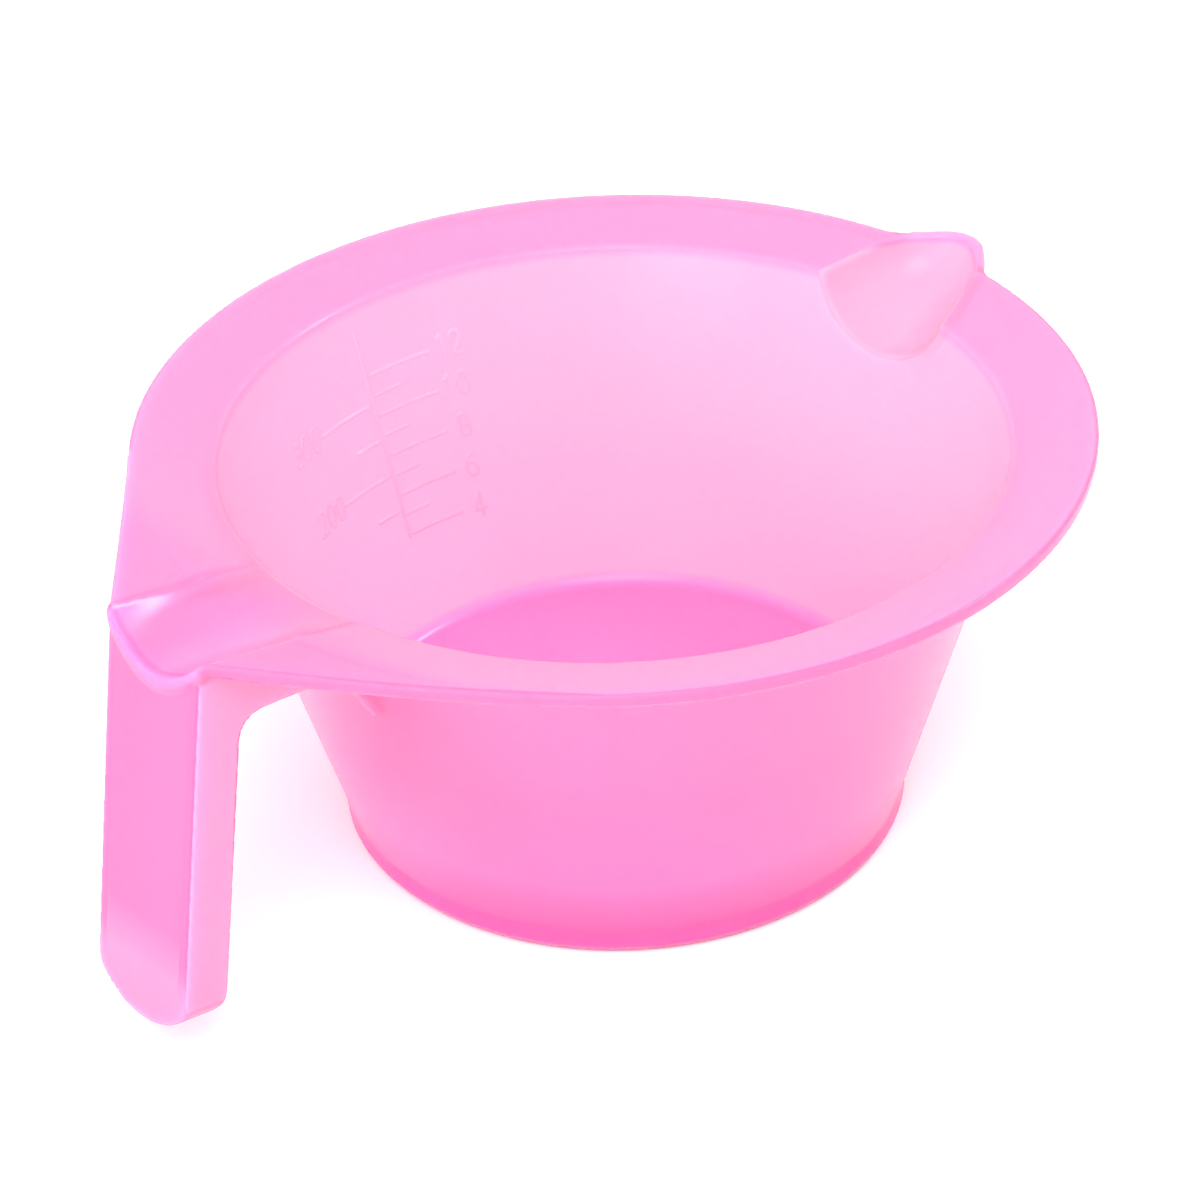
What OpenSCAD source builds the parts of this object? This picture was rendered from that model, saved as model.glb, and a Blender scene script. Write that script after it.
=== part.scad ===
// Hair color mixing bowl: a shallow conical bowl with a wide sloping rim, a pouring spout,
// a hanging channel handle with a brush rest on top, and a raised ml / oz scale inside.
// Axes: +X through the spout, -X through the handle, +Y through the scale, +Z up.
// Origin: centre of the foot, on the table. Millimetres.

/* [Bowl] */
// Outer radius of the wall, continued down to the table
base_r = 44.1; // [43.6:0.1:45]
// How much the wall's outer radius grows for each millimetre of height
wall_slope = 0.295; // [0.285:0.005:0.305]
// Height of the inside floor above the table
floor_z = 10.2; // [9.4:0.2:11]
// Thickness of the floor
floor_t = 2.2; // [1.8:0.1:2.6]
// Inner radius of the wall where it meets the floor
floor_r = 44.5; // [44:0.1:44.9]
// Rise of the bevel in the floor's corner
floor_bevel = 2.8; // [2:0.2:3.4]
// Inner radius of the mouth, where the wall turns out into the rim
mouth_r = 61.8; // [61.2:0.1:62.2]
// Height of the mouth
mouth_z = 66; // [65:0.5:67]

/* [Foot] */
// Thickness of the skirt under the floor
skirt_t = 2.2; // [1.6:0.2:2.6]
// Largest radius of the bead around the foot
bead_r = 45.6; // [45.4:0.1:46]
// Height of the bead
bead_h = 2.6; // [2.2:0.2:3.4]

/* [Rim] */
// Outer radius of the rim
rim_r = 75; // [74:0.5:77]
// Height of the rim's highest circle
rim_z = 69; // [68.6:0.1:69.4]
// Radius at which the sloping flange becomes the lip
lip_r = 71.8; // [71:0.2:72.4]
// Thickness of the flange and of the lip
rim_t = 2.1; // [1.8:0.1:2.4]

/* [Spout] */
// Radius of the spout's channel where it leaves the bowl
spout_root_r = 14.1; // [13:0.1:15]
// Radius of the rounding at the spout's tip
spout_tip_r = 4.8; // [4:0.2:5.4]
// Reach of the channel's tip from the bowl's axis
spout_reach = 81.1; // [80:0.5:83]
// Wall thickness of the spout
spout_t = 1.7; // [1.5:0.1:2]

/* [Handle] */
// Width of the grip
grip_w = 21.6; // [20:0.2:23]
// Depth of the grip, from its outer face to the open side
grip_d = 8.2; // [7.5:0.1:9]
// Wall thickness of the handle
grip_t = 2; // [1.6:0.1:2.4]
// Distance from the bowl's axis to the grip's outer face, continued down to the table
grip_x = 100.1; // [99:0.5:102]
// Lean of the grip: its lower end stands further out than its top
grip_lean = 8.8; // [8:0.2:9.4]
// Height of the grip's lowest point
grip_low = 7.4; // [5:0.2:9]
// Radius of the grip's rounded lower end
grip_end_r = 14; // [12:0.5:18]
// Rise of the handle's top for each millimetre outside the rim
lug_slope = 0.18; // [0.12:0.02:0.22]
// Height of the floor of the brush rest
rest_z = 65.7; // [65.2:0.1:66]

/* [Scale] */
// Direction of the scale's upright line
scale_az = 92; // [85:0.5:95]
// Height of the 4 oz tick
oz_z = 27; // [26:0.1:28]
// Height from one oz tick to the next
oz_step = 3.4; // [3.2:0.05:3.6]
// Height of the 150 ml tick
ml_z = 31.4; // [30:0.1:32]
// Height from one ml tick to the next, 50 ml further
ml_step = 6.05; // [5.8:0.05:6.2]
// How far the marks stand out of the wall
mark_h = 0.3; // [0.2:0.05:0.4]
// Stroke width of the marks
mark_w = 0.6; // [0.5:0.1:0.8]
// Height of the numerals
digit_h = 3.6; // [3:0.2:4]

/* [Hidden] */
$fn = 96;
hull_fn = 32;

bowl_color = [1, 0.62, 0.86];
foot_color = [1, 0.47, 0.76];
rim_color = [1, 0.7, 0.89];
grip_color = [0.99, 0.6, 0.85];
mark_color = [0.98, 0.74, 0.9];

// Wall: inner and outer radius at a height
in_slope = (mouth_r - floor_r) / (mouth_z - floor_z);
function r_in(z) = floor_r + in_slope * (z - floor_z);
function r_out(z) = base_r + wall_slope * z;

// Flange: height of its top at a radius, and the corner where its underside meets the wall
lip_z = rim_z - 0.4;
flange_slope = (lip_z - mouth_z) / (lip_r - mouth_r);
function z_flange(r) = mouth_z + flange_slope * (r - mouth_r);
neck_z = (mouth_z - rim_t + flange_slope * (base_r - mouth_r)) / (1 - flange_slope * wall_slope);
neck_r = r_out(neck_z);
lip_flat_r = lip_r + 1.7;
lip_low_z = rim_z - rim_t - 0.1;
skirt_top = floor_z - floor_t;
far = 130;

// Grip: distance of its faces from the axis at a height
lean_tan = tan(grip_lean);
function a_face(z) = grip_x - lean_tan * z;
function a_back(z) = a_face(z) - grip_t / cos(grip_lean);
function a_open(z) = a_face(z) - grip_d / cos(grip_lean);
half_w = grip_w / 2;
side_y = half_w - grip_t;
lug_end = a_face(rim_z + lug_slope * 14);
lug_end_z = rim_z + lug_slope * (lug_end - rim_r);

// Arm: the underside that the fingers pass below
arch_z = 59.3;
arch_r = 4;
arm_foot_z = 49.6;

// Scale: evenly spaced ticks, ml on one side of the line and oz on the other
function ml_at(v) = ml_z + ml_step * (v - 150) / 50;
function oz_at(v) = oz_z + oz_step * (v - 4);
ml_labels = [200, 300];
ml_halves = [150, 250];
oz_labels = [4, 6, 8, 10, 12];
oz_halves = [5, 7, 9, 11];
long_deg = 12.4;
short_deg = 5.6;
tick_gap = 0.5;
line_low = oz_z - mark_w / 2;
line_high = 62;
digit_w = digit_h * 0.55;
digit_gap = digit_h * 0.82;

// Strokes of a numeral, on a grid one wide and two high: from x, y to x, y
strokes = [
    [[0, 2], [1, 2]], [[1, 1], [1, 2]], [[1, 0], [1, 1]], [[0, 0], [1, 0]],
    [[0, 0], [0, 1]], [[0, 1], [0, 2]], [[0, 1], [1, 1]]
];
// Which strokes each numeral from 0 to 9 uses
lit = [
    [0, 1, 2, 3, 4, 5], [1, 2], [0, 1, 6, 4, 3], [0, 1, 6, 2, 3], [5, 6, 1, 2],
    [0, 5, 6, 2, 3], [0, 5, 4, 3, 2, 6], [0, 1, 2], [0, 1, 2, 3, 4, 5, 6], [6, 5, 0, 1, 2, 3]
];

function arc_points(cx, cy, r, from, to, n = 8) =
    [for (i = [0:n]) let(t = from + (to - from) * i / n) [cx + r * cos(t), cy + r * sin(t)]];

// ---- shared shapes ----

// Everything inside the bowl and above its rim. slope is the rise outside the rim.
module open_space(slope) {
    rotate_extrude() polygon([
        [0, floor_z], [floor_r, floor_z], [mouth_r, mouth_z], [lip_r, lip_z],
        [lip_flat_r, rim_z], [rim_r, rim_z], [far, rim_z + slope * (far - rim_r)],
        [far, far + 60], [0, far + 60]
    ]);
}

// The bowl's outside as one filled solid
module bowl_outside() {
    rotate_extrude() polygon([
        [0, 0], [base_r, 0], [neck_r, neck_z], [lip_r, lip_z - rim_t],
        [lip_flat_r, lip_low_z], [rim_r, lip_low_z], [rim_r, rim_z + 20], [0, rim_z + 20]
    ]);
}

// The spout's channel, grown outward by extra
module spout_body(extra) {
    hull() {
        translate([58, 0, 70.6]) sphere(r = spout_root_r + extra, $fn = hull_fn);
        translate([spout_reach - 11.6, 0, 70.6])
            sphere(r = spout_root_r * 0.68 + extra, $fn = hull_fn);
        translate([spout_reach - spout_tip_r, 0, 70.2])
            sphere(r = spout_tip_r + extra, $fn = hull_fn);
    }
}

// The brush rest's channel and everything above it, lowered by drop. Its floor is level and its
// sides rise with the lug, so the channel fades out at the mouth.
module rest_channel(drop) {
    steps = 8;
    top = 80;
    ends = [[grip_x + 2, 8.55], [mouth_r - 1, 0.15]];
    points = [
        for (e = ends) each concat(
            [for (i = [-steps:steps])
                [-e[0], half_w * i / steps, rest_z - drop + e[1] * pow(i / steps, 2)]],
            [[-e[0], half_w, top], [-e[0], -half_w, top]]
        )
    ];
    n = 2 * steps + 3;
    polyhedron(points = points, faces = concat(
        [[for (i = [0:n - 1]) i]],
        [[for (i = [n - 1:-1:0]) n + i]],
        [for (i = [0:n - 1]) [i, n + i, n + (i + 1) % n]],
        [for (i = [0:n - 1]) [i, n + (i + 1) % n, (i + 1) % n]]
    ));
}

// Everything outside the rim and above the lug's underside
module above_lug() {
    rotate_extrude() polygon([
        [rim_r, lip_low_z], [far, lip_low_z + lug_slope * (far - rim_r)],
        [far, far], [rim_r, far]
    ]);
}

// Outline of the lug seen from above: from the rim's tangents out to the grip's corners
module lug_outline() {
    tangent = 38;
    polygon([
        [0, 0], [-rim_r * cos(tangent), -rim_r * sin(tangent)], [-lug_end, -half_w],
        [-grip_x - 5, -half_w], [-grip_x - 5, half_w], [-lug_end, half_w],
        [-rim_r * cos(tangent), rim_r * sin(tangent)]
    ]);
}

// Everything outside the grip's leaning outer face
module beyond_grip() {
    translate([-grip_x, 0, 0]) rotate([0, grip_lean, 0])
        translate([-60, -60, -30]) cube([60, 120, 160]);
}

// The grip's outline on its own face: straight sides and a rounded lower end
module grip_outline(inset) {
    low = grip_low / cos(grip_lean);
    intersection() {
        translate([-half_w + inset, 0]) square([grip_w - 2 * inset, 78]);
        union() {
            translate([0, low + grip_end_r]) circle(r = grip_end_r - inset);
            translate([-half_w, low + grip_end_r]) square([grip_w, 78 - low - grip_end_r]);
        }
    }
}

// A slab of the grip between two depths behind its outer face
module grip_slab(from, to, inset) {
    translate([-grip_x, 0, 0]) rotate([0, grip_lean, 0])
        translate([from, 0, 0]) rotate([90, 0, 90]) linear_extrude(to - from) grip_outline(inset);
}

// A thin skin on the inside of the wall, from which the marks are cut
module mark_skin() {
    low = floor_z + 6;
    high = mouth_z - 2;
    rotate_extrude() polygon([
        [r_in(low) - mark_h, low], [r_in(low), low], [r_in(high), high], [r_in(high) - mark_h, high]
    ]);
}

// A tick along the wall: from one direction, through a number of degrees
module tick(z, from, through) {
    rotate([0, 0, from]) rotate_extrude(angle = through) polygon([
        [r_in(z - mark_w / 2) - mark_h, z - mark_w / 2], [r_in(z - mark_w / 2), z - mark_w / 2],
        [r_in(z + mark_w / 2), z + mark_w / 2], [r_in(z + mark_w / 2) - mark_h, z + mark_w / 2]
    ]);
}

// One numeral as a radial block, its centre line upright at x
module numeral_block(n, x) {
    for (s = lit[n]) {
        a = strokes[s][0];
        b = strokes[s][1];
        translate([
            x + (a[0] - 0.5) * digit_w - mark_w / 2, 40, a[1] * digit_h / 2 - mark_w / 2
        ]) cube([
            (b[0] - a[0]) * digit_w + mark_w, 40, (b[1] - a[1]) * digit_h / 2 + mark_w
        ]);
    }
}

// A whole number on the wall, read from inside, centred on a direction and a height
module number_on_wall(value, az, z) {
    digits = value > 99 ? [floor(value / 100), floor(value / 10) % 10, value % 10]
        : value > 9 ? [floor(value / 10), value % 10] : [value];
    count = len(digits);
    intersection() {
        mark_skin();
        rotate([0, 0, az - 90]) translate([0, 0, z - digit_h / 2])
            for (i = [0:count - 1])
                numeral_block(digits[i], (i - (count - 1) / 2) * digit_gap);
    }
}

// ---- bowl ----

module bowl_wall() {
    color(bowl_color) difference() {
        rotate_extrude() polygon([
            [floor_r, skirt_top], [r_out(skirt_top), skirt_top], [neck_r, neck_z],
            [mouth_r, mouth_z], [floor_r, floor_z]
        ]);
        floor_corner();
        spout_body(spout_t);
        rest_channel(grip_t);
    }
}

// The floor's bevelled corner ring
module floor_corner() {
    top = floor_z + floor_bevel;
    rotate_extrude() polygon([
        [floor_r - floor_bevel, floor_z], [floor_r, floor_z], [r_in(top), top]
    ]);
}

module bowl_floor() {
    color(bowl_color) union() {
        translate([0, 0, skirt_top]) cylinder(r = floor_r, h = floor_t);
        floor_corner();
    }
}

module foot_skirt() {
    color(foot_color) rotate_extrude() polygon([
        [base_r - skirt_t, 0], [base_r, 0], [r_out(skirt_top), skirt_top],
        [r_out(skirt_top) - skirt_t, skirt_top]
    ]);
}

module foot_bead() {
    color(foot_color) rotate_extrude() polygon([
        [base_r, 0], [base_r + 0.3, 0], [bead_r, bead_h - 1], [bead_r, bead_h - 0.4],
        [bead_r - 0.3, bead_h], [r_out(bead_h), bead_h]
    ]);
}

// ---- rim ----

module rim_flange() {
    color(rim_color) difference() {
        rotate_extrude() polygon([
            [mouth_r, mouth_z], [neck_r, neck_z], [lip_r, lip_z - rim_t], [lip_r, lip_z]
        ]);
        spout_body(spout_t);
        rest_channel(grip_t);
    }
}

module rim_lip() {
    color(rim_color) difference() {
        rotate_extrude() polygon([
            [lip_r, lip_z - rim_t], [lip_flat_r, lip_low_z], [rim_r, lip_low_z],
            [rim_r, rim_z], [lip_flat_r, rim_z], [lip_r, lip_z]
        ]);
        spout_body(spout_t);
        rest_channel(grip_t);
    }
}

module pour_spout() {
    color(rim_color) difference() {
        spout_body(spout_t);
        spout_body(0);
        open_space(0);
    }
}

// ---- handle ----

// The flared plate outside the rim, and the channel shell that crosses it into the rim
module brush_rest_lug() {
    color(grip_color) difference() {
        union() {
            intersection() {
                above_lug();
                linear_extrude(79) lug_outline();
            }
            rest_channel(grip_t);
        }
        open_space(lug_slope);
        rest_channel(0);
        beyond_grip();
    }
}

module grip_plate() {
    color(grip_color) difference() {
        grip_slab(0, grip_t, 0);
        rest_channel(grip_t);
    }
}

// One side wall: the grip's edge, and the arm that runs under the lug to the bowl's wall
module grip_side(from_y) {
    corner = 2.5;
    low = grip_low + grip_end_r - sqrt(pow(grip_end_r, 2) - pow(half_w, 2)) + 0.4;
    arch_a = a_open(arch_z) - arch_r;
    difference() {
        translate([0, from_y + grip_t, 0]) rotate([90, 0, 0]) linear_extrude(grip_t)
            mirror([1, 0]) polygon(concat(
                [[a_back(low), low]],
                arc_points(a_open(low) + corner, low + corner, corner, 270, 180),
                arc_points(arch_a, arch_z - arch_r, arch_r, 8, 90),
                arc_points(r_out(57) + 6, 51, 6.6, 100, 172, 6),
                [[r_out(arm_foot_z) - 1, arm_foot_z], [r_out(57) - 4, 75], [a_back(75), 75]]
            ));
        bowl_outside();
        above_lug();
        rest_channel(grip_t);
    }
}

module grip_side_left() {
    color(grip_color) grip_side(side_y);
}

module grip_side_right() {
    color(grip_color) grip_side(-half_w);
}

// The curved wall that closes the grip's lower end between its sides
module grip_end() {
    low = grip_low / cos(grip_lean);
    color(grip_color) translate([-grip_x, 0, 0]) rotate([0, grip_lean, 0])
        translate([grip_t, 0, 0]) rotate([90, 0, 90]) linear_extrude(grip_d - 0.6 - grip_t)
            difference() {
                intersection() {
                    translate([0, low + grip_end_r]) circle(r = grip_end_r);
                    translate([-side_y, 0]) square([2 * side_y, low + grip_end_r / 2]);
                }
                translate([0, low + grip_end_r]) circle(r = grip_end_r - grip_t);
            }
}

// ---- scale ----

module scale_line() {
    color(mark_color) intersection() {
        mark_skin();
        rotate([0, 0, scale_az - 90])
            translate([-mark_w / 2, 40, line_low]) cube([mark_w, 40, line_high - line_low]);
    }
}

module ticks_ml() {
    start = scale_az + tick_gap;
    color(mark_color) {
        for (v = ml_labels) tick(ml_at(v), start, long_deg);
        for (v = ml_halves) tick(ml_at(v), start, short_deg);
    }
}

module ticks_oz() {
    start = scale_az - tick_gap;
    color(mark_color) {
        for (v = oz_labels) tick(oz_at(v), start - long_deg, long_deg);
        for (v = oz_halves) tick(oz_at(v), start - short_deg, short_deg);
    }
}

module numerals_ml() {
    color(mark_color) for (v = ml_labels)
        number_on_wall(v, scale_az + long_deg + 5.2, ml_at(v));
}

module numerals_oz() {
    color(mark_color) for (v = oz_labels)
        number_on_wall(v, scale_az - long_deg - 4.4, oz_at(v));
}

bowl_wall();
bowl_floor();
foot_skirt();
foot_bead();
rim_flange();
rim_lip();
pour_spout();
brush_rest_lug();
grip_plate();
grip_side_left();
grip_side_right();
grip_end();
scale_line();
ticks_ml();
ticks_oz();
numerals_ml();
numerals_oz();
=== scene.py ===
import math
import bmesh
import bpy
import numpy as np
from mathutils import Matrix, Vector


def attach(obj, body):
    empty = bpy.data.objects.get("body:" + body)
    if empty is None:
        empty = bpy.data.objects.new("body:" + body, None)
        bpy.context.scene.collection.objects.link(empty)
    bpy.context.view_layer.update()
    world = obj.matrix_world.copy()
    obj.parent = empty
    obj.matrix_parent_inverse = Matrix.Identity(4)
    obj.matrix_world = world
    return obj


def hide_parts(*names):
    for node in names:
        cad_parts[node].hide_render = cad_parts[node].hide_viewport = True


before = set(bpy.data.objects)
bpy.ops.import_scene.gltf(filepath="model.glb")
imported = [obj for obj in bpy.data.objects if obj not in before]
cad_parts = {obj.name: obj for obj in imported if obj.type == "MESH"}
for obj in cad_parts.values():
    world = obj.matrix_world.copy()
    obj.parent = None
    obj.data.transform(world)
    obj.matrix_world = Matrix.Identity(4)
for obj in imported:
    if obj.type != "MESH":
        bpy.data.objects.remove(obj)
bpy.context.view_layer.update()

MM = 0.001

# ---------------------------------------------------------------- shape, in millimetres
BASE_R, WALL_SLOPE = 44.1, 0.295
FLOOR_Z, FLOOR_R, FLOOR_UNDER = 10.2, 44.5, 8.0
MOUTH_R, MOUTH_Z = 61.8, 66.0
LIP_R, RIM_R, RIM_Z, RIM_UNDER = 71.8, 75.0, 69.0, 66.75
# The lug: its slope, and its straight side edges as a direction and a distance from the axis
LUG_SLOPE = 0.18
LUG_C, LUG_S, LUG_REACH = 0.764, 0.645, 74.97
GRIP_X, LEAN = 100.1, math.radians(8.8)
GRIP_HALF, GRIP_T, GRIP_D, GRIP_LOW, GRIP_END_R = 10.8, 2.0, 8.2, 7.4, 14.0
# The brush rest across the lug: height of its floor, how fast it deepens, its flare at the sides
REST_Z, REST_SLOPE, REST_FLARE = 65.7, 0.2035, 0.4
# and how far it curves up to the grip's half width near the outer end, for the colours
REST_RISE = 5.9
SPOUT_REACH, SPOUT_T = 81.1, 1.7
# Degrees by which the handle and the spout are turned about the bowl's axis
HANDLE_TURN, SPOUT_TURN = 0.7, 0.5


def smin(a, b, k):
    """The smaller of two distances, with a fillet of about k where they meet."""
    h = np.maximum(k - np.abs(a - b), 0.0)
    return np.minimum(a, b) - h * h / (4 * k)


def smax(a, b, k):
    return -smin(-a, -b, k)


def rounded(corners):
    """Closed outline with each corner (x, y, radius) replaced by an arc."""
    out = []
    n = len(corners)
    for i, (x, y, r) in enumerate(corners):
        p = np.array((x, y), float)
        if r <= 0:
            out.append(p)
            continue
        a = np.array(corners[i - 1][:2], float) - p
        b = np.array(corners[(i + 1) % n][:2], float) - p
        la, lb = np.linalg.norm(a), np.linalg.norm(b)
        a, b = a / la, b / lb
        half = math.acos(max(-1.0, min(1.0, float(a @ b)))) / 2
        cut = min(r / math.tan(half), la * 0.49, lb * 0.49)
        r = cut * math.tan(half)
        mid = (a + b) / np.linalg.norm(a + b)
        c = p + mid * (r / math.sin(half))
        va, vb = p + a * cut - c, p + b * cut - c
        turn = math.atan2(va[0] * vb[1] - va[1] * vb[0], float(va @ vb))
        steps = max(3, int(abs(turn) * max(r, 0.6) / 0.25))
        for s in range(steps + 1):
            t = turn * s / steps
            out.append(c + (math.cos(t) * va[0] - math.sin(t) * va[1],
                            math.sin(t) * va[0] + math.cos(t) * va[1]))
    return np.array(out)


class Table:
    """Signed distance to a closed outline, stored on a fine grid and read back smoothly."""

    def __init__(self, outline, low, high, step=0.15):
        self.low, self.step = np.array(low, float), step
        nx = int((high[0] - low[0]) / step) + 2
        ny = int((high[1] - low[1]) / step) + 2
        x, y = np.meshgrid(low[0] + step * np.arange(nx), low[1] + step * np.arange(ny),
                           indexing="ij")
        best = np.full(x.shape, 1e9)
        inside = np.zeros(x.shape, bool)
        for a, b in zip(outline, np.roll(outline, -1, axis=0)):
            e = b - a
            t = np.clip(((x - a[0]) * e[0] + (y - a[1]) * e[1]) / max(e @ e, 1e-12), 0, 1)
            best = np.minimum(best, (x - a[0] - t * e[0]) ** 2 + (y - a[1] - t * e[1]) ** 2)
            if a[1] != b[1]:
                cross = ((a[1] > y) != (b[1] > y)) & (
                    x < (b[0] - a[0]) * (y - a[1]) / (b[1] - a[1]) + a[0])
                inside ^= cross
        self.d = np.where(inside, -1, 1) * np.sqrt(best)

    def __call__(self, x, y):
        u = np.clip((x - self.low[0]) / self.step, 0, self.d.shape[0] - 1.001)
        v = np.clip((y - self.low[1]) / self.step, 0, self.d.shape[1] - 1.001)
        i, j = u.astype(int), v.astype(int)
        u, v = u - i, v - j
        d = self.d
        return ((d[i, j] * (1 - u) + d[i + 1, j] * u) * (1 - v)
                + (d[i, j + 1] * (1 - u) + d[i + 1, j + 1] * u) * v)


def r_out(z):
    return BASE_R + WALL_SLOPE * z


# The bowl of revolution: radius, height, corner radius
bowl_line = rounded([
    (-20, FLOOR_UNDER, 0), (r_out(FLOOR_UNDER) - 2.2, FLOOR_UNDER, 1.0), (41.9, 0, 0.5),
    (44.4, 0, 0.6), (45.55, 1.5, 0.8), (45.55, 2.3, 0.8), (45.4, 4.4, 3.0), (63.05, 64.2, 2.2),
    (LIP_R, 66.5, 1.0), (73.4, 66.75, 0.8), (74.98, 66.7, 0.55), (74.98, 69.05, 0.9),
    (73.9, 69.0, 0.8), (LIP_R, 68.6, 0.5), (MOUTH_R, MOUTH_Z, 1.0), (FLOOR_R, FLOOR_Z, 3.2),
    (-20, FLOOR_Z, 0)
])
# Everything inside the bowl and above its rim or its handle
open_line = rounded([
    (-20, FLOOR_Z, 0), (FLOOR_R, FLOOR_Z, 3.2), (MOUTH_R, MOUTH_Z, 1.0), (LIP_R, 68.6, 0.4),
    (73.9, RIM_Z, 0.5), (RIM_R, RIM_Z + 0.05, 1.5), (140, RIM_Z + LUG_SLOPE * 65, 0),
    (140, 140, 0), (-20, 140, 0)
])


def a_open(z):
    """Distance along the handle, at a height, of the grip's open side."""
    return GRIP_X - math.tan(LEAN) * z - GRIP_D / math.cos(LEAN)


# A side wall of the grip and its arm: distance along the handle, height, corner radius
side_line = rounded([
    (GRIP_X + 1.0, 6.0, 0), (a_open(9.4), 9.4, 4.4),
    (a_open(59.2), 59.2, 4.2), (64.4, 57.4, 7.5), (58.2, 47.0, 0), (54.0, 50.0, 0), (54.0, 80, 0),
    (GRIP_X + 1.0, 80, 0)
])
LOW, HIGH = (-104.0, -80.0, -2.5), (88.0, 80.0, 75.5)
bowl_at = Table(bowl_line, (-1, -4), (106, 78))
open_at = Table(open_line, (-1, -4), (106, 78))
side_at = Table(side_line, (44, -4), (106, 78))
# The spout's hollow, turned about a level line: distance out, radius, corner radius
SPOUT_Z, SPOUT_HALF = 70.6, 14.1
BEND_1, BEND_2 = (60.2, SPOUT_HALF), (74.5, 8.3)
SLOPE_1, SLOPE_2 = -0.4056, -0.942
spout_line = rounded([(20, SPOUT_HALF, 0), (*BEND_1, 16.0), (*BEND_2, 14.0),
                      (SPOUT_REACH, BEND_2[1] + SLOPE_2 * (SPOUT_REACH - BEND_2[0]), 4.8),
                      (SPOUT_REACH, -20, 0), (20, -20, 0)])
spout_at = Table(spout_line, (36, -1), (92, 44))


def turned(x, y, degrees):
    """The same point seen from axes turned by some degrees."""
    c, s = math.cos(math.radians(degrees)), math.sin(math.radians(degrees))
    return c * x + s * y, c * y - s * x


def spout_hollow(p):
    return spout_at(p[:, 0], np.hypot(p[:, 1], p[:, 2] - SPOUT_Z))


def rest_floor(along):
    """How far the brush rest's floor rises from its middle to the grip's half width."""
    rise = 0.15 + (along - (MOUTH_R - 1)) * REST_SLOPE
    return np.maximum(rise, 0.0)


def rest_hollow(along, y, z, drop, half):
    """The space above the brush rest's floor, lowered by drop and cut off at a half width."""
    rise = rest_floor(along)
    over = np.maximum(np.abs(y) - GRIP_HALF, 0)
    f = REST_Z - drop + rise * (y / GRIP_HALF) ** 2 + REST_FLARE * over
    g = 2 * rise * np.abs(y) / GRIP_HALF ** 2 + REST_FLARE * (over > 0)
    return np.maximum(np.maximum((f - z) / np.sqrt(1 + g * g), np.abs(y) - half),
                      MOUTH_R - 1.4 - along)


def field(p):
    """Signed distance to the whole moulding, negative inside the plastic."""
    x, y, z = p[:, 0], p[:, 1], p[:, 2]
    r = np.hypot(x, y)
    along = -x
    d = bowl_at(r, z)
    hollow_open = open_at(r, z)
    # spout
    hollow = spout_hollow(np.stack((*turned(x, y, SPOUT_TURN), z), 1))
    shell = smax(np.maximum(hollow - SPOUT_T, -hollow_open), z - RIM_Z - 0.05, 0.9)
    beside = x > 40
    d = np.where(beside, np.maximum(smin(d, shell, 1.2), -hollow_open - 0.02), d)
    d = np.where(beside, smax(d, -hollow, 0.8), d)
    # handle, only near it
    near = along > 40
    if near.any():
        q = np.flatnonzero(near)
        xa, yy = turned(along[q], y[q], HANDLE_TURN)
        zz, rr, aay, top = z[q], r[q], np.abs(yy), -hollow_open[q]
        face = (xa - GRIP_X) * math.cos(LEAN) + zz * math.sin(LEAN)
        up = -(xa - GRIP_X) * math.sin(LEAN) + zz * math.cos(LEAN)
        outline = np.maximum(LUG_C * xa + LUG_S * aay - LUG_REACH, 0.788 * aay - 0.616 * xa)
        lug = smax(smax(outline, top, 0.9), face, 0.7)
        lug = smax(lug, (RIM_UNDER + LUG_SLOPE * np.maximum(rr - RIM_R, 0) - zz) / 1.016, 0.6)
        lug = np.maximum(lug, 72.6 - rr)
        whole = smin(d[q], lug, 0.5)
        # plastic under the brush rest
        trough = np.maximum(rest_hollow(xa, yy, zz, GRIP_T, GRIP_HALF), top)
        trough = smax(trough, face, 0.7)
        whole = smin(whole, trough, 0.6)
        # grip: a block with a round lower end, hollowed from the bowl's side
        low = GRIP_LOW / math.cos(LEAN) + GRIP_END_R
        ring = np.where(up < low, np.hypot(yy, up - low), 0.0)
        sides = smax(aay - GRIP_HALF, ring - GRIP_END_R, 1.5)
        block = smax(smax(sides, side_at(xa, zz), 0.9), face, 0.6)
        block = np.maximum(block, top)
        inner = smax(aay - GRIP_HALF + GRIP_T, ring - GRIP_END_R + GRIP_T, 0.8)
        inner = smax(inner, face + GRIP_T, 0.8)
        end = ((zz - 6.0) + 0.316 * (xa - GRIP_X - 1.0)) * 0.9535
        inner = smax(inner, GRIP_T + 0.6 - end, 0.8)
        grip = smax(block, -inner, 0.5)
        whole = smin(whole, grip, 1.2)
        whole = np.maximum(whole, -hollow_open[q] - 0.02)
        whole = smax(whole, -rest_hollow(xa, yy, zz, 0.0, 30.0), 0.8)
        d = d.copy()
        d[q] = np.where(xa > 40, whole, d[q])
    return d


def gradient(f, p, h=0.06):
    """Slope of f at each point, from differences over h to either side."""
    g = np.empty_like(p)
    for k in range(3):
        e = np.zeros(3)
        e[k] = h
        g[:, k] = (f(p + e) - f(p - e)) / (2 * h)
    return g


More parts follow.
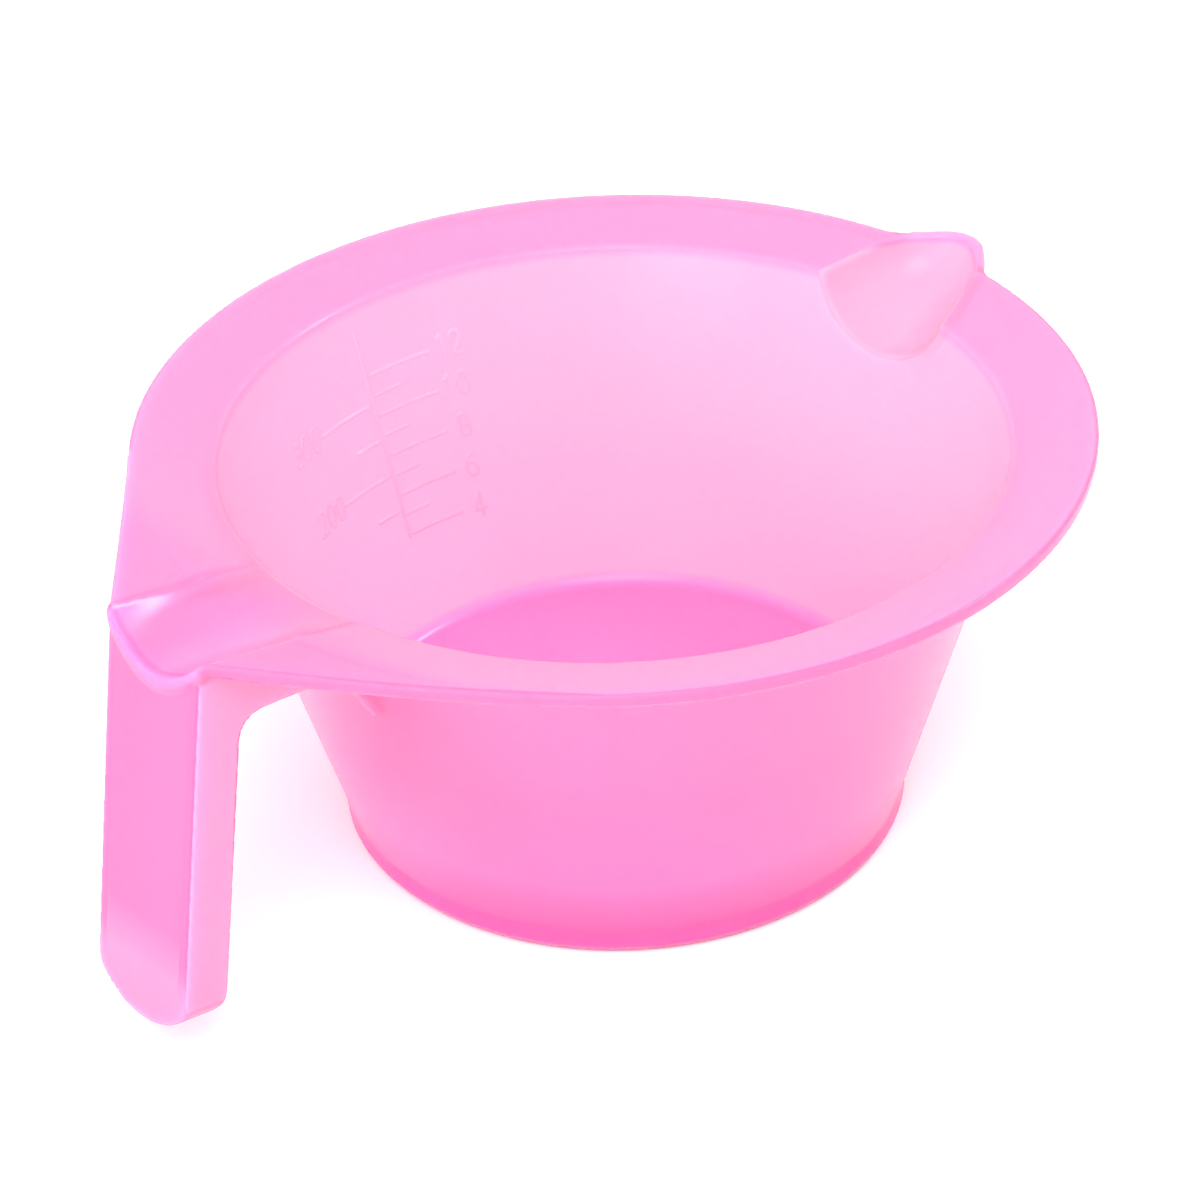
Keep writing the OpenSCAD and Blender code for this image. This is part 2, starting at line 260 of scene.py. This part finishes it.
def surface(f, low, high, step, block=8):
    """Closed quad mesh of f = 0: dual mesh on a grid, with its points pulled onto the surface."""
    # f on the grid: in full near the surface, one value for each block away from it
    low = np.array(low, float)
    count = [int(math.ceil((high[k] - low[k]) / step / block)) * block for k in range(3)]
    nb = [c // block for c in count]
    values = np.empty([c + 1 for c in count], np.float32)
    bi = np.stack(np.meshgrid(*[np.arange(n) for n in nb], indexing="ij"), -1).reshape(-1, 3)
    centre = low + (bi + 0.5) * block * step
    d = f(centre)
    reach = block * step * 0.87 + 1.6
    local = np.stack(np.meshgrid(*[np.arange(block + 1)] * 3, indexing="ij"), -1).reshape(-1, 3)
    for b, v in zip(bi[np.abs(d) >= reach], d[np.abs(d) >= reach]):
        i, j, k = b * block
        values[i:i + block + 1, j:j + block + 1, k:k + block + 1] = v
    live = bi[np.abs(d) < reach]
    for s in range(0, len(live), 1500):
        part = live[s:s + 1500]
        idx = part[:, None, :] * block + local[None]
        v = f((low + idx.reshape(-1, 3) * step)).astype(np.float32)
        idx = idx.reshape(-1, 3)
        values[idx[:, 0], idx[:, 1], idx[:, 2]] = v
    # one point in each cell that the surface crosses, at the mean of its crossings
    neg = values < 0
    c = np.zeros(count, np.int8)
    for dx in (0, 1):
        for dy in (0, 1):
            for dz in (0, 1):
                c += neg[dx:dx + count[0], dy:dy + count[1], dz:dz + count[2]]
    cells = np.argwhere((c > 0) & (c < 8))
    total = np.zeros((len(cells), 3))
    n = np.zeros(len(cells))
    corner = {}
    for dx in (0, 1):
        for dy in (0, 1):
            for dz in (0, 1):
                q = cells + (dx, dy, dz)
                corner[dx, dy, dz] = values[q[:, 0], q[:, 1], q[:, 2]]
    for axis in range(3):
        for u in (0, 1):
            for v in (0, 1):
                a = [u, v]
                a.insert(axis, 0)
                b = [u, v]
                b.insert(axis, 1)
                va, vb = corner[tuple(a)], corner[tuple(b)]
                hit = (va < 0) != (vb < 0)
                t = np.where(hit, va / np.where(hit, va - vb, 1), 0)
                point = np.array(a, float) + t[:, None] * (np.array(b) - np.array(a))
                total += point * hit[:, None]
                n += hit
    points = low + (cells + total / n[:, None]) * step
    number = np.full(count, -1, np.int32)
    number[cells[:, 0], cells[:, 1], cells[:, 2]] = np.arange(len(cells))
    # one quad round each grid edge that the surface crosses
    quads = []
    for axis in range(3):
        sl = [slice(None)] * 3
        sl[axis] = slice(0, -1)
        sm = [slice(None)] * 3
        sm[axis] = slice(1, None)
        e = np.argwhere(neg[tuple(sl)] != neg[tuple(sm)])
        o1, o2 = (axis + 1) % 3, (axis + 2) % 3
        e = e[(e[:, o1] > 0) & (e[:, o2] > 0) & (e[:, o1] < count[o1]) & (e[:, o2] < count[o2])]
        start_in = neg[e[:, 0], e[:, 1], e[:, 2]]
        ring = []
        for s1, s2 in ((1, 1), (0, 1), (0, 0), (1, 0)):
            q = e.copy()
            q[:, o1] -= s1
            q[:, o2] -= s2
            ring.append(number[q[:, 0], q[:, 1], q[:, 2]])
        ring = np.stack(ring, 1)
        ring[~start_in] = ring[~start_in][:, ::-1]
        quads.append(ring)
    quads = np.concatenate(quads)
    for i in range(5):
        g = gradient(f, points)
        size = np.maximum(np.einsum("ij,ij->i", g, g), 0.2)
        move = -f(points)[:, None] * g / size[:, None]
        long = np.linalg.norm(move, axis=1, keepdims=True)
        points = points + move * np.minimum(1, step * 0.4 / np.maximum(long, 1e-9))
    return points, quads


def make_mesh(name, points, faces):
    mesh = bpy.data.meshes.new(name)
    mesh.vertices.add(len(points))
    mesh.vertices.foreach_set("co", (np.asarray(points) * MM).astype(np.float32).ravel())
    faces = np.asarray(faces, np.int32)
    mesh.loops.add(faces.size)
    mesh.loops.foreach_set("vertex_index", faces.ravel())
    mesh.polygons.add(len(faces))
    starts = np.arange(0, faces.size, faces.shape[1], dtype=np.int32)
    mesh.polygons.foreach_set("loop_start", starts)
    mesh.update(calc_edges=True)
    mesh.validate()
    obj = bpy.data.objects.new(name, mesh)
    bpy.context.scene.collection.objects.link(obj)
    return obj


# The raised scale: strokes on the unrolled inner wall, u in mm to the right, z up
SCALE_AZ = math.radians(92.0)
MARK_H, MARK_W = 0.16, 0.5
IN_SLOPE = (MOUTH_R - FLOOR_R) / (MOUTH_Z - FLOOR_Z)


def wall_r(z):
    """Radius of the inner wall at a height."""
    return FLOOR_R + IN_SLOPE * (z - FLOOR_Z)


def bow(cx, cy, rx, ry, a, b, n=12):
    """Points on an arc of an ellipse, from a to b degrees."""
    return [(cx + rx * math.cos(math.radians(a + (b - a) * i / n)),
             cy + ry * math.sin(math.radians(a + (b - a) * i / n))) for i in range(n + 1)]


GLYPHS = {
    "0": [bow(0.5, 1, 0.5, 1, 0, 360, 20)],
    "1": [[(0.2, 1.6), (0.6, 2), (0.6, 0)]],
    "2": [bow(0.5, 1.48, 0.48, 0.52, 165, -40) + [(0, 0), (1, 0)]],
    "3": [bow(0.47, 1.52, 0.45, 0.48, 150, -90) + bow(0.47, 0.54, 0.52, 0.54, 90, -155)],
    "4": [[(0.75, 0), (0.75, 2), (0, 0.6), (1.05, 0.6)]],
    "6": [bow(0.5, 0.62, 0.5, 0.62, 0, 360, 18), bow(1.25, 0.75, 1.25, 1.35, 180, 115, 8)],
    "8": [bow(0.5, 1.5, 0.42, 0.5, 0, 360, 16), bow(0.5, 0.53, 0.5, 0.53, 0, 360, 16)],
}


def scale_strokes():
    """Every stroke as (u0, z0, u1, z1)."""
    out = []

    def line(points):
        out.extend((*a, *b) for a, b in zip(points, points[1:]))

    def tick(z, degrees):
        line([(math.radians(math.copysign(0.9, degrees)) * wall_r(z), z),
              (math.radians(degrees) * wall_r(z), z)])

    def number(text, degrees, z, size=3.7):
        wide = size * 0.5
        start = math.radians(degrees) * wall_r(z) - (len(text) * 1.45 - 0.45) * wide / 2
        for i, c in enumerate(text):
            for stroke in GLYPHS[c]:
                line([(start + (i * 1.45 + x) * wide, z + (y - 1) * size / 2) for x, y in stroke])

    line([(0, 26.6), (0, 61.9)])
    for v in (4, 6, 8, 10, 12):
        z = 27.0 + 3.4 * (v - 4)
        tick(z, 12.9)
        number(str(v), 16.6, z + 0.3)
    for v in (5, 7, 9, 11):
        tick(27.0 + 3.4 * (v - 4), 6.1)
    for v in (200, 300):
        z = 37.45 + 12.1 * (v - 200) / 100
        tick(z, -12.9)
        number(str(v), -17.4, z + 0.4)
    for z in (31.4, 43.5):
        tick(z, -6.1)
    return np.array(out)


STROKES = scale_strokes()


def mark_distance(p):
    """Distance along the wall to the nearest stroke, large away from the scale."""
    x, y, z = p[:, 0], p[:, 1], p[:, 2]
    r = np.hypot(x, y)
    out = np.full(len(p), 99.0)
    q = np.flatnonzero((y > 25) & (z > 22) & (z < 65) & (r < 43.4 + WALL_SLOPE * z)
                       & (np.abs(x) < 32))
    if len(q) == 0:
        return out
    u = (SCALE_AZ - np.arctan2(y[q], x[q])) * wall_r(z[q])
    v = z[q]
    best = np.full(len(q), 99.0)
    for u0, z0, u1, z1 in STROKES:
        du, dz = u1 - u0, z1 - z0
        t = np.clip(((u - u0) * du + (v - z0) * dz) / (du * du + dz * dz), 0, 1)
        best = np.minimum(best, np.hypot(u - u0 - t * du, v - z0 - t * dz))
    out[q] = best
    return out


def marked_field(p):
    """The moulding's distance with the raised scale added."""
    rise = np.clip((MARK_W / 2 + 0.12 - mark_distance(p)) / 0.24, 0, 1)
    return field(p) - MARK_H * rise * rise * (3 - 2 * rise)


def add_scale(obj):
    """Cuts the faces under the scale finer and raises the strokes out of them."""
    mesh = obj.data
    bm = bmesh.new()
    bm.from_mesh(mesh)
    bmesh.ops.remove_doubles(bm, verts=bm.verts, dist=0.03 * MM)
    bm.faces.ensure_lookup_table()
    centres = np.array([f.calc_center_median()[:] for f in bm.faces]) / MM
    chosen = np.flatnonzero(mark_distance(centres) < STEP * 1.1 + MARK_W / 2)
    edges = list({e for i in chosen for e in bm.faces[i].edges})
    first = len(bm.verts)
    bmesh.ops.subdivide_edges(bm, edges=edges, cuts=3, use_grid_fill=True)
    bm.to_mesh(mesh)
    bm.free()
    points = np.empty(len(mesh.vertices) * 3)
    mesh.vertices.foreach_get("co", points)
    points = points.reshape(-1, 3) / MM
    live = np.flatnonzero((mark_distance(points) < 3) | (np.arange(len(points)) >= first))
    part = points[live]
    for i in range(3):
        g = gradient(field, part)
        size = np.maximum(np.einsum("ij,ij->i", g, g), 0.2)
        part = part - marked_field(part)[:, None] * g / size[:, None]
    points[live] = part
    mesh.vertices.foreach_set("co", (points * MM).astype(np.float32).ravel())
    normals = gradient(field, points, 0.12)
    normals[live] = gradient(marked_field, part, 0.04)
    normals /= np.maximum(np.linalg.norm(normals, axis=1, keepdims=True), 1e-9)
    # a mask of the strokes, which the material reads to paint shade on them
    stroke = mesh.attributes.new("stroke", "FLOAT", "POINT")
    stroke.data.foreach_set("value", np.clip(1.6 - mark_distance(points) / MARK_W * 2, 0, 1))
    mesh.polygons.foreach_set("use_smooth", np.ones(len(mesh.polygons), bool))
    mesh.normals_split_custom_set_from_vertices(normals.tolist())
    mesh.update()


STEP = 0.6
points, quads = surface(field, LOW, HIGH, STEP)
bowl = make_mesh("tint_bowl_moulding", points, quads)
add_scale(bowl)
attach(bowl, "root")
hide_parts("bowl_wall", "bowl_floor", "foot_skirt", "foot_bead", "rim_flange", "rim_lip",
            "pour_spout", "brush_rest_lug", "grip_plate", "grip_side_left", "grip_side_right",
            "grip_end", "scale_line", "ticks_ml", "ticks_oz", "numerals_ml", "numerals_oz")

# ---------------------------------------------------------------- material


class Paint:
    """Short names for the nodes that place colours in the object's own coordinates."""

    def __init__(self, nt):
        self.nt = nt
        self.coords = nt.nodes.new("ShaderNodeTexCoord").outputs["Object"]
        split = nt.nodes.new("ShaderNodeSeparateXYZ")
        nt.links.new(self.coords, split.inputs[0])
        self.x, self.y, self.z = split.outputs
        self.r = self.math("SQRT", self.math(
            "ADD", self.math("MULTIPLY", self.x, self.x), self.math("MULTIPLY", self.y, self.y)))

    def put(self, socket, value):
        if isinstance(value, (int, float)):
            socket.default_value = value
        elif isinstance(value, tuple):
            socket.default_value = (*value, 1)
        else:
            self.nt.links.new(value, socket)

    def math(self, kind, a, b=0.0, c=0.0):
        node = self.nt.nodes.new("ShaderNodeMath")
        node.operation = kind
        for socket, value in zip(node.inputs, (a, b, c)):
            self.put(socket, value)
        return node.outputs[0]

    def step(self, value, low, high, unit=MM):
        """0 below low, 1 above high (millimetres), smooth between; low > high turns it round."""
        node = self.nt.nodes.new("ShaderNodeMapRange")
        node.interpolation_type = "SMOOTHSTEP"
        self.put(node.inputs["Value"], value)
        node.inputs["From Min"].default_value = min(low, high) * unit
        node.inputs["From Max"].default_value = max(low, high) * unit
        if low > high:
            node.inputs["To Min"].default_value = 1
            node.inputs["To Max"].default_value = 0
        return node.outputs[0]

    def mix(self, mask, a, b):
        node = self.nt.nodes.new("ShaderNodeMix")
        node.data_type = "RGBA"
        self.put(node.inputs[0], mask)
        self.put(node.inputs[6], a)
        self.put(node.inputs[7], b)
        return node.outputs[2]

    def ramp(self, value, stops):
        """Colours along a coordinate: stops are (millimetres, linear colour)."""
        low, high = stops[0][0], stops[-1][0]
        scale = self.nt.nodes.new("ShaderNodeMapRange")
        scale.inputs["From Min"].default_value = low * MM
        scale.inputs["From Max"].default_value = high * MM
        self.put(scale.inputs["Value"], value)
        node = self.nt.nodes.new("ShaderNodeValToRGB")
        while len(node.color_ramp.elements) < len(stops):
            node.color_ramp.elements.new(0.5)
        for element, (place, colour) in zip(node.color_ramp.elements, stops):
            element.position = (place - low) / (high - low)
            element.color = (*colour, 1)
        self.put(node.inputs[0], scale.outputs[0])
        return node.outputs[0]


def plastic(name):
    mat = bpy.data.materials.new(name)
    mat.use_nodes = True
    nt = mat.node_tree
    bsdf = nt.nodes["Principled BSDF"]
    p = Paint(nt)
    # bowl, inside and outside, by height, with light and shade painted in: painted shade darkens
    # the inner floor, the foot and the outer wall, and the inner wall is painted lighter low down
    # and deeper towards the rim
    cone = p.math("SUBTRACT", p.r, p.math("MULTIPLY", p.z, WALL_SLOPE))
    outside = p.step(cone, 43.0, 43.5)
    inner = p.ramp(p.z, [(9.0, INNER_FLOOR), (10.6, INNER_FLOOR), (12.4, INNER_LOW),
                         (40.0, INNER_MID), (62.0, INNER_HIGH)])
    outer = p.ramp(p.z, [(0.0, FOOT_LOW), (4.0, FOOT), (15.0, OUTER_LOW), (34.0, OUTER_MID),
                         (62.0, OUTER_HIGH)])
    tone = p.mix(outside, inner, outer)
    # strokes of the scale, painted deeper as painted shade on the raised strokes
    marks = nt.nodes.new("ShaderNodeAttribute")
    marks.attribute_name = "stroke"
    tone = p.mix(marks.outputs["Fac"], tone, MARK_SHADE)
    # rim, lug and the arm under it: the rim and lug top are painted deeper than the inner wall to
    # take up their stronger light, as painted shade, and the arm is painted lighter, as painted
    # light
    tone = p.mix(p.step(p.z, 64.0, 66.5), tone, p.mix(p.step(p.x, -62.0, -74.0), RIM, LUG_TOP))
    arm = p.math("MULTIPLY", p.step(cone, 44.6, 45.6), p.step(p.z, 64.2, 63.2))
    tone = p.mix(p.math("MULTIPLY", arm, p.step(p.x, -62.0, -72.0)), tone, GRIP_SIDE)
    # the edge of the rim and of the lug, painted deeper as painted shade; aside is the distance
    # from the handle's middle plane
    lean = p.math("MULTIPLY", p.x, math.sin(math.radians(HANDLE_TURN)))
    aside = p.math("ABSOLUTE", p.math("ADD", p.y, lean))
    past = p.math("ADD", p.math("MULTIPLY", p.x, -LUG_C), p.math("MULTIPLY", aside, LUG_S))
    round_rim = p.math("MULTIPLY", p.step(p.r, 74.1, 74.7), p.step(p.r, 76.2, 75.6))
    edge = p.math("MAXIMUM", p.math("MULTIPLY", round_rim, p.step(p.x, -58, -56.5)),
                  p.step(past, 74.1, 74.7))
    tone = p.mix(edge, tone, EDGE_SHADE)
    # grip, painted with light and shade: lighter at its low end, painted shade where the rib
    # stands behind its plate, a lighter band of painted light where the thicker lip stands at its
    # top, painted shade along its upright edges and painted light on its sides
    grip = p.ramp(p.z, [(7.0, GRIP_END), (17.0, GRIP_END), (25.0, GRIP), (60.0, GRIP)])
    behind = p.math("MULTIPLY", p.step(aside, 8.6, 9.0), p.step(p.z, 14.0, 22.0))
    grip = p.mix(behind, grip, RIB_SHADE)
    bend = p.math("MULTIPLY", p.math("MULTIPLY", aside, aside), REST_RISE / GRIP_HALF ** 2 / MM)
    lens = p.step(p.math("SUBTRACT", p.z, bend), REST_Z - 3.2, REST_Z - 2.8)
    grip = p.mix(p.math("MULTIPLY", lens, p.step(aside, 8.6, 7.0)), grip, LIP_LIGHT)
    upright = p.math("MULTIPLY", p.step(aside, 10.0, 10.2), p.step(p.z, 16.0, 24.0))
    grip = p.mix(upright, grip, GRIP_EDGE_SHADE)
    grip = p.mix(p.step(aside, 10.5, 10.68), grip, GRIP_SIDE)
    top = p.mix(edge, LUG_TOP, EDGE_SHADE)
    grip = p.mix(p.step(p.z, 67.5, 68.5), grip, top)
    tone = p.mix(p.step(p.x, -76.0, -80.0), tone, grip)
    # floor of the brush rest, with its outer lip: the floor painted lighter as painted light, the
    # lip deeper as painted shade
    rest = p.math("MULTIPLY", p.step(p.x, -60.0, -76.0), p.step(aside, 10.8, 10.2))
    outward = p.math("MULTIPLY_ADD", p.x, -math.cos(LEAN), p.math("MULTIPLY", p.z, math.sin(LEAN)))
    reach = GRIP_X * math.cos(LEAN)
    shelf = p.mix(p.step(outward, reach - 1.6, reach - 0.9), LUG, LUG_LIP)
    tone = p.mix(p.math("MULTIPLY", rest, p.step(p.math("SUBTRACT", p.z, bend), 63.5, 64.5)), tone,
                 shelf)
    # spout: the hollow's own outline, wide at the bowl and narrow at the lip; its inside is
    # painted in its own tone, with painted light and shade, deeper where it meets the rim
    high = p.math("SUBTRACT", p.z, SPOUT_Z * MM)
    side = p.math("MULTIPLY_ADD", p.x, -math.sin(math.radians(SPOUT_TURN)), p.y)
    width = p.math("SQRT", p.math("ADD", p.math("MULTIPLY", side, side),
                                  p.math("MULTIPLY", high, high)))
    wide = p.math("MULTIPLY_ADD", p.x, SLOPE_1, (BEND_1[1] - SLOPE_1 * BEND_1[0]) * MM)
    slim = p.math("MULTIPLY_ADD", p.x, SLOPE_2, (BEND_2[1] - SLOPE_2 * BEND_2[0]) * MM)
    limit = p.math("MINIMUM", p.math("MINIMUM", wide, slim), SPOUT_HALF * MM)
    spout = p.step(p.math("SUBTRACT", limit, width), -0.7, -0.3)
    inside = p.mix(p.step(p.z, 67.4, 68.4), SPOUT, SPOUT_EDGE)
    tone = p.mix(p.math("MULTIPLY", spout, p.step(p.x, 57.0, 58.0)), tone, inside)
    nt.links.new(tone, bsdf.inputs["Base Color"])
    # faint unevenness of the moulded surface
    cloud = nt.nodes.new("ShaderNodeTexNoise")
    cloud.inputs["Scale"].default_value = 55
    cloud.inputs["Detail"].default_value = 3
    nt.links.new(p.coords, cloud.inputs["Vector"])
    rough = nt.nodes.new("ShaderNodeMapRange")
    rough.inputs["To Min"].default_value = 0.20
    rough.inputs["To Max"].default_value = 0.265
    nt.links.new(cloud.outputs["Fac"], rough.inputs["Value"])
    nt.links.new(rough.outputs[0], bsdf.inputs["Roughness"])
    bsdf.inputs["Subsurface Weight"].default_value = 1.0
    bsdf.inputs["Subsurface Radius"].default_value = (1.0, 0.7, 0.85)
    bsdf.inputs["Subsurface Scale"].default_value = 0.008
    bsdf.inputs["IOR"].default_value = 1.49
    bsdf.inputs["Transmission Weight"].default_value = 0.35
    return mat


# Linear colours by region: one pink plastic, with light and shade painted into each region's
# colour
# inner floor painted deeper as painted shade; inner wall painted lighter low down and deeper up
# high
INNER_FLOOR, INNER_LOW = (1.0, 0.29, 0.68), (1.0, 0.53, 0.69)
INNER_MID, INNER_HIGH = (1.0, 0.465, 0.60), (1.0, 0.40, 0.54)
# painted shade on the raised strokes of the scale
MARK_SHADE = (1.0, 0.44, 0.58)
# foot painted deeper as painted shade, deepest at the ground
FOOT_LOW, FOOT = (1.0, 0.10, 0.37), (1.0, 0.11, 0.39)
# outer wall painted deeper than the inner wall, as painted shade
OUTER_LOW, OUTER_MID, OUTER_HIGH = (1.0, 0.175, 0.44), (1.0, 0.17, 0.40), (1.0, 0.20, 0.42)
# rim and lug top painted deeper than the inner wall as painted shade; their outer edge deeper
# still
RIM, LUG_TOP, EDGE_SHADE = (1.0, 0.24, 0.44), (1.0, 0.205, 0.435), (1.0, 0.145, 0.325)
# brush rest floor painted lighter as painted light, its outer lip deeper
LUG, LUG_LIP = (1.0, 0.23, 0.50), (1.0, 0.17, 0.42)
# grip painted deep, with painted shade over the rib behind the plate and along the upright edges
GRIP, RIB_SHADE, GRIP_EDGE_SHADE = (1.0, 0.115, 0.33), (1.0, 0.105, 0.315), (1.0, 0.09, 0.27)
# grip's low end, its sides and the band under the lip painted lighter, as painted light
GRIP_END, GRIP_SIDE, LIP_LIGHT = (1.0, 0.205, 0.405), (1.0, 0.285, 0.49), (1.0, 0.135, 0.35)
# spout inside painted in its own tone as painted light and shade, deeper near the rim
SPOUT, SPOUT_EDGE = (1.0, 0.33, 0.46), (1.0, 0.23, 0.43)
tint = plastic("tint_plastic_moulded")
bowl.data.materials.append(tint)
for name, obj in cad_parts.items():
    if hasattr(obj, "data") and obj.data is not None:
        obj.data.materials.clear()
        obj.data.materials.append(tint)

# ---------------------------------------------------------------- floor, light and camera
stage_mesh = bpy.data.meshes.new("studio_floor")
stage_mesh.from_pydata([(-3, -3, 0), (3, -3, 0), (3, 3, 0), (-3, 3, 0)], [], [(0, 1, 2, 3)])
floor = bpy.data.objects.new("studio_floor", stage_mesh)
bpy.context.scene.collection.objects.link(floor)
floor.location.z = -0.0002
paper = bpy.data.materials.new("studio_paper")
paper.use_nodes = True
paper.node_tree.nodes["Principled BSDF"].inputs["Base Color"].default_value = (0.9, 0.9, 0.9, 1)
paper.node_tree.nodes["Principled BSDF"].inputs["Roughness"].default_value = 0.9
paper.node_tree.nodes["Principled BSDF"].inputs["Specular IOR Level"].default_value = 0.1
floor.data.materials.append(paper)

world = bpy.data.worlds.new("studio")
bpy.context.scene.world = world
world.use_nodes = True
world.node_tree.nodes["Background"].inputs[0].default_value = (1, 1, 1, 1)
world.node_tree.nodes["Background"].inputs[1].default_value = 1.3
bpy.context.scene.view_settings.view_transform = "Standard"


def area(name, place, aim, size, power):
    lamp = bpy.data.lights.new(name, "AREA")
    lamp.shape = "DISK"
    lamp.size = size
    lamp.energy = power
    obj = bpy.data.objects.new(name, lamp)
    obj.location = place
    obj.rotation_euler = (Vector(aim) - Vector(place)).to_track_quat("-Z", "Y").to_euler()
    bpy.context.scene.collection.objects.link(obj)
    return obj


for fill in (area("camera_side", (-0.46, -0.50, 0.96), (0, 0, 0.03), 0.7, 10.0),
             area("left_side", (-0.97, -0.42, 0.26), (0, 0, 0.03), 0.6, 4.0),
             area("handle_side", (-0.90, 0.50, 0.24), (0, 0, 0.03), 0.6, 6.5)):
    fill.visible_glossy = False
area("right_side", (0.72, -0.25, 0.85), (0, 0, 0.05), 0.2, 1.9)

cam = bpy.data.cameras.new("photo_view")
cam_obj = bpy.data.objects.new("photo_view", cam)
bpy.context.scene.collection.objects.link(cam_obj)
bpy.context.scene.camera = cam_obj
cam.sensor_width = 36
cam.lens = 128.6
eye = Vector((-0.3823, -0.4230, 0.4108))
look = Vector((0.0081, 0.0136, 0.0258))
turn = (look - eye).to_track_quat("-Z", "Y").to_matrix().to_4x4()
roll = Matrix.Rotation(math.radians(-2.3), 4, "Z")
cam_obj.matrix_world = Matrix.Translation(eye) @ turn @ roll
